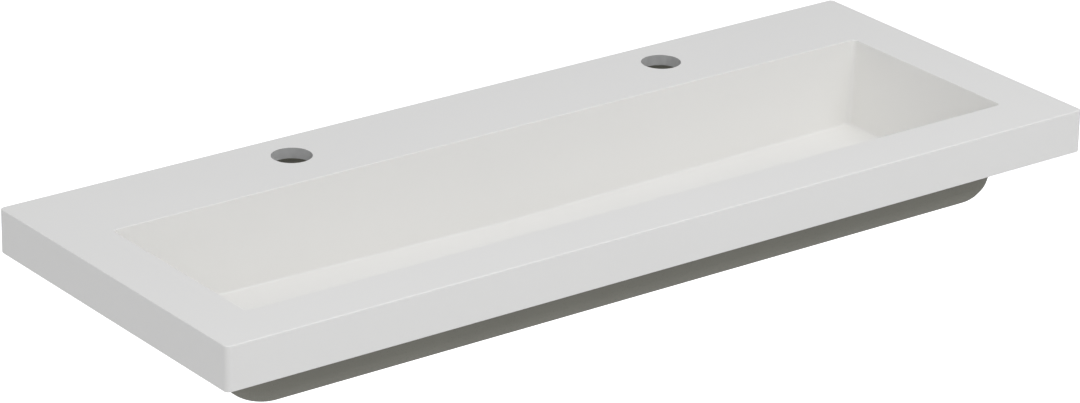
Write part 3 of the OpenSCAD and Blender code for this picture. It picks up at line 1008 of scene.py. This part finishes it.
@dataclass
class Waste:
    """The chromed waste in the drain hole, with its seals, slip washer and nut."""

    axis: Spot
    low: Vector
    high: Vector
    chrome: Finish
    brass: Finish
    rubber: Finish
    nylon: Finish
    coils: CoilTree
    spokes: SpokeTree
    thread_r: float = 0.020955
    thread_depth: float = 0.0012
    thread_pitch: float = 0.002309
    thread_lead: float = 0.0008
    thread_runout: float = 0.0015
    ridge_share: float = 0.75
    thread_steps: int = 72
    thread_sides: int = 8
    bore_r: float = 0.0175
    relief_low: float = -0.09
    relief_high: float = -0.0875
    flange_r: float = 0.032
    flange_z: float = -0.061
    flange_lip: float = 0.0012
    flange_bevel: float = 0.0025
    root_r: float = 0.0226
    root_h: float = 0.003
    root_step: float = 0.001
    dish_rim_r: float = 0.0245
    dish_throat_r: float = 0.019
    dish_depth: float = 0.004
    hub_top_z: float = -0.09
    hub_h: float = 0.007
    hub_r: float = 0.0085
    hub_bore_r: float = 0.005
    spoke_w: float = 0.0035
    spoke_step: float = 0.0002
    spoke_count: int = 3
    crown_ease: float = 0.0012
    dish_ease: float = 0.0008
    hub_ease: float = 0.0006
    throat_ease: float = 0.0005
    edge_ease: float = 0.0004
    bore_ease: float = 0.0003
    root_ease: float = 0.0002
    sides: int = 128
    hub_sides: int = 64

    def tube(self) -> Piece:
        """Builds the flange, the dish and the tube at the root of its thread."""
        top, end = self.high.z, self.low.z
        core = self.thread_r - self.thread_depth
        throat_z = top - self.dish_depth
        profile = rounded_profile([
            (self.bore_r, end, self.edge_ease),
            (core, end, self.edge_ease),
            (core, self.flange_z - self.root_h - self.root_step, self.bore_ease),
            (self.root_r, self.flange_z, self.root_ease),
            (self.flange_r, self.flange_z, self.bore_ease),
            (self.flange_r, self.flange_z + self.flange_lip, self.edge_ease),
            (self.flange_r - self.flange_bevel, top, self.crown_ease),
            (self.dish_rim_r, top, self.dish_ease),
            (self.dish_throat_r, throat_z, self.dish_ease),
            (self.bore_r, throat_z, self.throat_ease),
        ])
        piece = turned("waste_tube", self.axis, profile, self.chrome, self.sides)
        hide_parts("waste_body")
        return piece

    def hub(self) -> Piece:
        """Builds the ring that carries the cartridge."""
        foot = self.hub_top_z - self.hub_h
        profile = rounded_profile([
            (self.hub_bore_r, foot, self.bore_ease),
            (self.hub_r, foot, self.hub_ease),
            (self.hub_r, self.hub_top_z, self.hub_ease),
            (self.hub_bore_r, self.hub_top_z, self.bore_ease),
        ])
        return turned("waste_hub", self.axis, profile, self.chrome, self.hub_sides)

    def thread(self, name: str, foot: float, head: float) -> Piece:
        """Builds one stretch of thread.

        Args:
            name: The name of the piece.
            foot: Its lowest height.
            head: Its highest height.

        Returns:
            The object.
        """
        ridge = self.thread_depth * self.ridge_share
        height = head - foot - 2 * ridge
        return self.coils.make(name, {
            "Radius": self.thread_r - ridge, "Wire radius": ridge, "Turns": height / self.thread_pitch,
            "Height": height, "Closed ends": 0.0, "Base height": foot + ridge, "Axis Y": self.axis[1],
            "Steps": self.thread_steps, "Sides": self.thread_sides,
        }, self.chrome)

    def arms(self) -> Piece:
        """Builds the spokes that carry the hub, a hair lower than its faces."""
        return self.spokes.make("waste_spokes", {
            "Inner radius": (self.hub_bore_r + self.hub_r) / 2,
            "Outer radius": (self.bore_r + self.thread_r) / 2,
            "Width": self.spoke_w, "Height": self.hub_h - 2 * self.spoke_step,
            "Top height": self.hub_top_z - self.spoke_step,
            "Axis Y": self.axis[1], "Count": self.spoke_count,
        }, self.chrome)

    def build(self) -> list[Piece]:
        """Builds the waste, riding on the basin, and dresses what clamps it. Returns the new pieces."""
        pieces = [
            self.tube(),
            self.hub(),
            self.arms(),
            self.thread("tail_thread", self.low.z + self.thread_lead, self.relief_low),
            self.thread("clamp_thread", self.relief_high, self.flange_z - self.root_h - self.thread_runout),
        ]
        for piece in pieces:
            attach(piece, Body.BASIN.value)
        dress_nodes({
            "lock_nut": self.brass,
            "slip_washer": self.nylon,
            "flange_gasket": self.rubber,
            "lower_gasket": self.rubber,
        })
        return pieces


@dataclass
class Plug:
    """The domed cap, its seal and the plunger that carries it."""

    axis: Spot
    low: Vector
    high: Vector
    chrome: Finish
    rubber: Finish
    plastic: Finish
    edge_h: float = 0.003
    rise: float = 0.0025
    lip: float = 0.001
    rim_t: float = 0.0024
    skirt_r: float = 0.0175
    skirt_t: float = 0.002
    skirt_h: float = 0.0045
    boss_r: float = 0.007
    stud_r: float = 0.00305
    stud_depth: float = 0.01
    crown_ease: float = 0.0012
    edge_ease: float = 0.0004
    skirt_ease: float = 0.0003
    bore_ease: float = 0.0002
    dome_steps: int = 24
    sides: int = 160

    def cap(self) -> Piece:
        """Builds the cap, with a crowned top, a rolled edge, a skirt and a boss."""
        radius = (self.high.x - self.low.x) / 2
        top, boss_z = self.high.z, self.low.z
        foot = top - self.rise - self.edge_h
        plate = foot + self.lip
        skirt_z = plate - self.skirt_h
        stud_z = boss_z + self.stud_depth
        skirt_in = self.skirt_r - self.skirt_t
        dome_r = (radius**2 + self.rise**2) / (2 * self.rise)
        crown = [radius * i / self.dome_steps for i in range(self.dome_steps)]
        profile = [(r, top - dome_r + sqrt(dome_r**2 - r**2)) for r in crown]
        profile += rounded_profile([
            (crown[-1], profile[-1][1], 0),
            (radius, top - self.rise, self.crown_ease),
            (radius, foot, self.edge_ease),
            (radius - self.rim_t, foot, self.edge_ease),
            (radius - self.rim_t, plate, self.edge_ease),
            (self.skirt_r, plate, self.skirt_ease),
            (self.skirt_r, skirt_z, self.skirt_ease),
            (skirt_in, skirt_z, self.skirt_ease),
            (skirt_in, plate, self.skirt_ease),
            (self.boss_r, plate, self.skirt_ease),
            (self.boss_r, boss_z, self.edge_ease),
            (self.stud_r, boss_z, self.bore_ease),
            (self.stud_r, stud_z, self.bore_ease),
            (0, stud_z, 0),
        ])[1:]
        piece = turned("plug_cap_shell", self.axis, profile, self.chrome, self.sides)
        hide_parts("plug_cap")
        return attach(piece, Body.PLUG.value)

    def build(self) -> Piece:
        """Builds the cap and dresses the seal and the plunger. Returns the cap."""
        dress_nodes({"plug_seal": self.rubber, "plunger": self.plastic})
        return self.cap()


@dataclass
class Cartridge:
    """The click cartridge in the hub: base, housing, rotor and spring."""

    axis: Spot
    seat_z: float
    rotor_z: float
    coils: CoilTree
    base: Finish
    housing: Finish
    rotor: Finish
    steel: Finish
    wire_r: float = 0.00045
    coil_r: float = 0.00285
    turns: float = 8.0
    closed_ends: float = 0.8
    coil_steps: int = 32
    coil_sides: int = 10
    travel: float = 0.008

    def build(self) -> Piece:
        """Dresses the moulded pieces and winds the spring.

        Returns:
            The spring.
        """
        dress_nodes({"cartridge_base": self.base, "cartridge_housing": self.housing, "cam_rotor": self.rotor})
        height = self.rotor_z - self.seat_z
        spring = self.coils.make("spring_coil", {
            "Radius": self.coil_r, "Wire radius": self.wire_r, "Turns": self.turns,
            "Height": height - 2 * self.wire_r, "Closed ends": self.closed_ends,
            "Base height": self.seat_z + self.wire_r, "Axis Y": self.axis[1],
            "Steps": self.coil_steps, "Sides": self.coil_sides,
        }, self.steel)
        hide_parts("cartridge_spring")
        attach(spring, Body.BASIN.value)
        anchor = (*self.axis, self.seat_z)
        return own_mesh(spring)


@dataclass(frozen=True)
class Softbox:
    """A square area light that faces the basin."""

    name: str
    place: Point
    energy: float
    size: float = 3.0
    colour: Colour = (0.99, 1.0, 1.03)

    def hang(self, aim: Point) -> None:
        """Hangs the light and turns it to face a point."""
        lamp = bpy.data.lights.new(self.name, "AREA")
        lamp.energy, lamp.size, lamp.color = self.energy, self.size, self.colour
        hung = linked(self.name, lamp)
        hung.location = self.place
        hung.rotation_euler = (Vector(aim) - Vector(self.place)).to_track_quat("-Z", "Y").to_euler()


@dataclass
class Studio:
    """A plain pale floor at a real basin's mounting height, soft light and the camera of the photograph."""

    floor_z: float = -0.8
    floor_half: float = 60.0
    floor_tone: tuple[float, float] = (0.86, 0.88)
    floor_scale: float = 0.6
    floor_detail: float = 2.0
    floor_glow: float = 0.9
    sky_strength: float = 0.445
    sky_colour: Colour = (0.99, 1.0, 1.03)
    softboxes: tuple[Softbox, ...] = (
        Softbox("top_softbox", (0.4, -1.6, 3.4), 43.0),
        Softbox("front_softbox", (0.4, -3.7, 2.5), 34.0),
        Softbox("left_softbox", (-3.6, -0.8, 1.8), 20.0),
    )
    aim: Point = (0.0, -0.23, 0.0)
    camera_place: Point = (-3.03141, -4.22685, 2.06064)
    yaw: float = 36.9638
    pitch: float = 22.3525
    roll: float = -0.9065
    focal_px: float = 4733.2
    photo_width_px: float = 1080.0
    sensor: float = 36.0

    def floor_material(self) -> bpy.types.Material:
        """Pale and matt, white to the camera, and clear from below so that the underside can be seen."""
        made = bpy.data.materials.new("studio_floor")
        made.use_nodes = True
        w = Wiring(made.node_tree)
        nodes = made.node_tree.nodes
        nodes.remove(nodes["Principled BSDF"])
        noise = w.add("ShaderNodeTexNoise", {"Scale": self.floor_scale, "Detail": self.floor_detail})
        low, high = self.floor_tone
        tone = w.add("ShaderNodeMapRange", {"Value": noise.outputs[0], "To Min": low, "To Max": high})
        pale = w.add("ShaderNodeBsdfDiffuse", {"Color": tone.outputs[0]})
        seen = w.add("ShaderNodeLightPath").outputs["Is Camera Ray"]
        glow = w.add("ShaderNodeEmission", {"Strength": w.math("MULTIPLY", seen, self.floor_glow)})
        top = w.add("ShaderNodeAddShader", {0: pale.outputs[0], 1: glow.outputs[0]})
        clear = w.add("ShaderNodeBsdfTransparent")
        back = w.add("ShaderNodeNewGeometry").outputs["Backfacing"]
        both = w.add("ShaderNodeMixShader", {0: back, 1: top.outputs[0], 2: clear.outputs[0]})
        w.give(nodes["Material Output"], {"Surface": both.outputs[0]})
        return made

    def build(self) -> None:
        """Makes the floor, the world, the lights and the camera."""
        half, z = self.floor_half, self.floor_z
        mesh = bpy.data.meshes.new("floor")
        corners = [(-half, -half, z), (half, -half, z), (half, half, z), (-half, half, z)]
        mesh.from_pydata(corners, [], [(0, 1, 2, 3)])
        mesh.materials.append(self.floor_material())
        floor = linked("floor", mesh)
        floor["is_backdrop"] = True
        world = bpy.data.worlds.new("soft_sky")
        world.use_nodes = True
        Wiring(world.node_tree).give(world.node_tree.nodes["Background"], {
            "Color": (*self.sky_colour, 1.0), "Strength": self.sky_strength,
        })
        scene = bpy.context.scene
        scene.world = world
        scene.view_settings.view_transform = "Standard"
        for softbox in self.softboxes:
            softbox.hang(self.aim)
        scene.camera = self.camera()

    def camera(self) -> Piece:
        """Sets up the camera where the solve of the photograph puts it, and returns it."""
        yaw, pitch, roll = radians(self.yaw), radians(self.pitch), radians(self.roll)
        ahead = Vector((sin(yaw) * cos(pitch), cos(yaw) * cos(pitch), -sin(pitch)))
        level = Vector((cos(yaw), -sin(yaw), 0.0))
        down = ahead.cross(level)
        right = cos(roll) * level + sin(roll) * down
        up = sin(roll) * level - cos(roll) * down
        turn = Matrix((right, up, -ahead)).transposed().to_4x4()
        data = bpy.data.cameras.new("photo_camera")
        data.sensor_fit, data.sensor_width = "HORIZONTAL", self.sensor
        data.lens = self.sensor * self.focal_px / self.photo_width_px
        data.clip_end = 2 * self.floor_half
        camera = linked("photo_camera", data)
        camera.matrix_world = Matrix.Translation(self.camera_place) @ turn
        return camera


def write_sizes() -> None:
    """Writes the box of the construction model and the box of what is shown."""
    boxes = [[round(value, 6) for value in corner] for corner in (*CAD_BOX, *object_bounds())]
    LOG.info("sizes %s", boxes)


def main() -> None:
    """Builds each sub-assembly in turn and dresses it."""
    logging.basicConfig(level=logging.INFO, format="%(name)s: %(message)s")
    Studio().build()
    white = GelCoat("gel_coat", (0.883, 0.873, 0.841), (0.877, 0.867, 0.835), (0.34, 0.4))
    # Backing colour: partly the raw casting's own tone, partly painted shade on the underside of the basin.
    backing = RawBackingPaintedShade("raw_backing_and_painted_shade", (0.262, 0.257, 0.216), (0.238, 0.233, 0.195), (0.7, 0.85))
    # Hole wall grey: partly the drilled core's tone, partly painted shade inside the tap holes.
    core = CutCorePaintedShade("drilled_core_and_painted_shade", (0.5, 0.5, 0.49), (0.42, 0.42, 0.41), (0.5, 0.65))
    casting = BasinCasting(*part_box("basin"), coat=white, backing=backing, core=core)
    LOG.info("built %s", casting.build().name)
    axis = casting.drain
    centre = (*axis, 0.0)
    chrome = TurnedMetal(
        "chrome", (0.80, 0.81, 0.82), (0.76, 0.77, 0.79), (0.05, 0.12), centre, relief_strength=0.1,
    )
    brass = TurnedMetal(
        "turned_brass", (0.74, 0.55, 0.28), (0.64, 0.46, 0.22), (0.25, 0.38), centre, relief_strength=0.6,
    )
    steel = TurnedMetal("spring_steel", (0.55, 0.56, 0.58), (0.46, 0.47, 0.49), (0.22, 0.34), centre)
    rubber = Moulded("black_rubber", (0.028, 0.028, 0.03), (0.02, 0.02, 0.022), (0.55, 0.7), centre)
    nylon = Moulded("natural_nylon", (0.74, 0.73, 0.68), (0.70, 0.69, 0.64), (0.35, 0.45), centre)
    dark = Moulded("dark_acetal", (0.075, 0.08, 0.088), (0.06, 0.065, 0.07), (0.35, 0.45), centre)
    pale = Moulded("white_acetal", (0.78, 0.78, 0.76), (0.74, 0.74, 0.72), (0.3, 0.4), centre)
    orange = Moulded("orange_acetal", (0.62, 0.14, 0.04), (0.55, 0.12, 0.035), (0.3, 0.4), centre)
    coils, spokes = CoilTree(), SpokeTree()
    waste = Waste(axis, *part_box("waste_body"), chrome, brass, rubber, nylon, coils, spokes)
    LOG.info("built %s", [piece.name for piece in waste.build()])
    plug = Plug(axis, *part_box("plug_cap"), chrome, rubber, pale)
    LOG.info("built %s", plug.build().name)
    seat_z, rotor_z = (corner.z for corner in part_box("cartridge_spring"))
    cartridge = Cartridge(axis, seat_z, rotor_z, coils, dark, pale, orange, steel)
    LOG.info("built %s", cartridge.build().name)
    write_sizes()


if __name__ == "__main__":
    main()
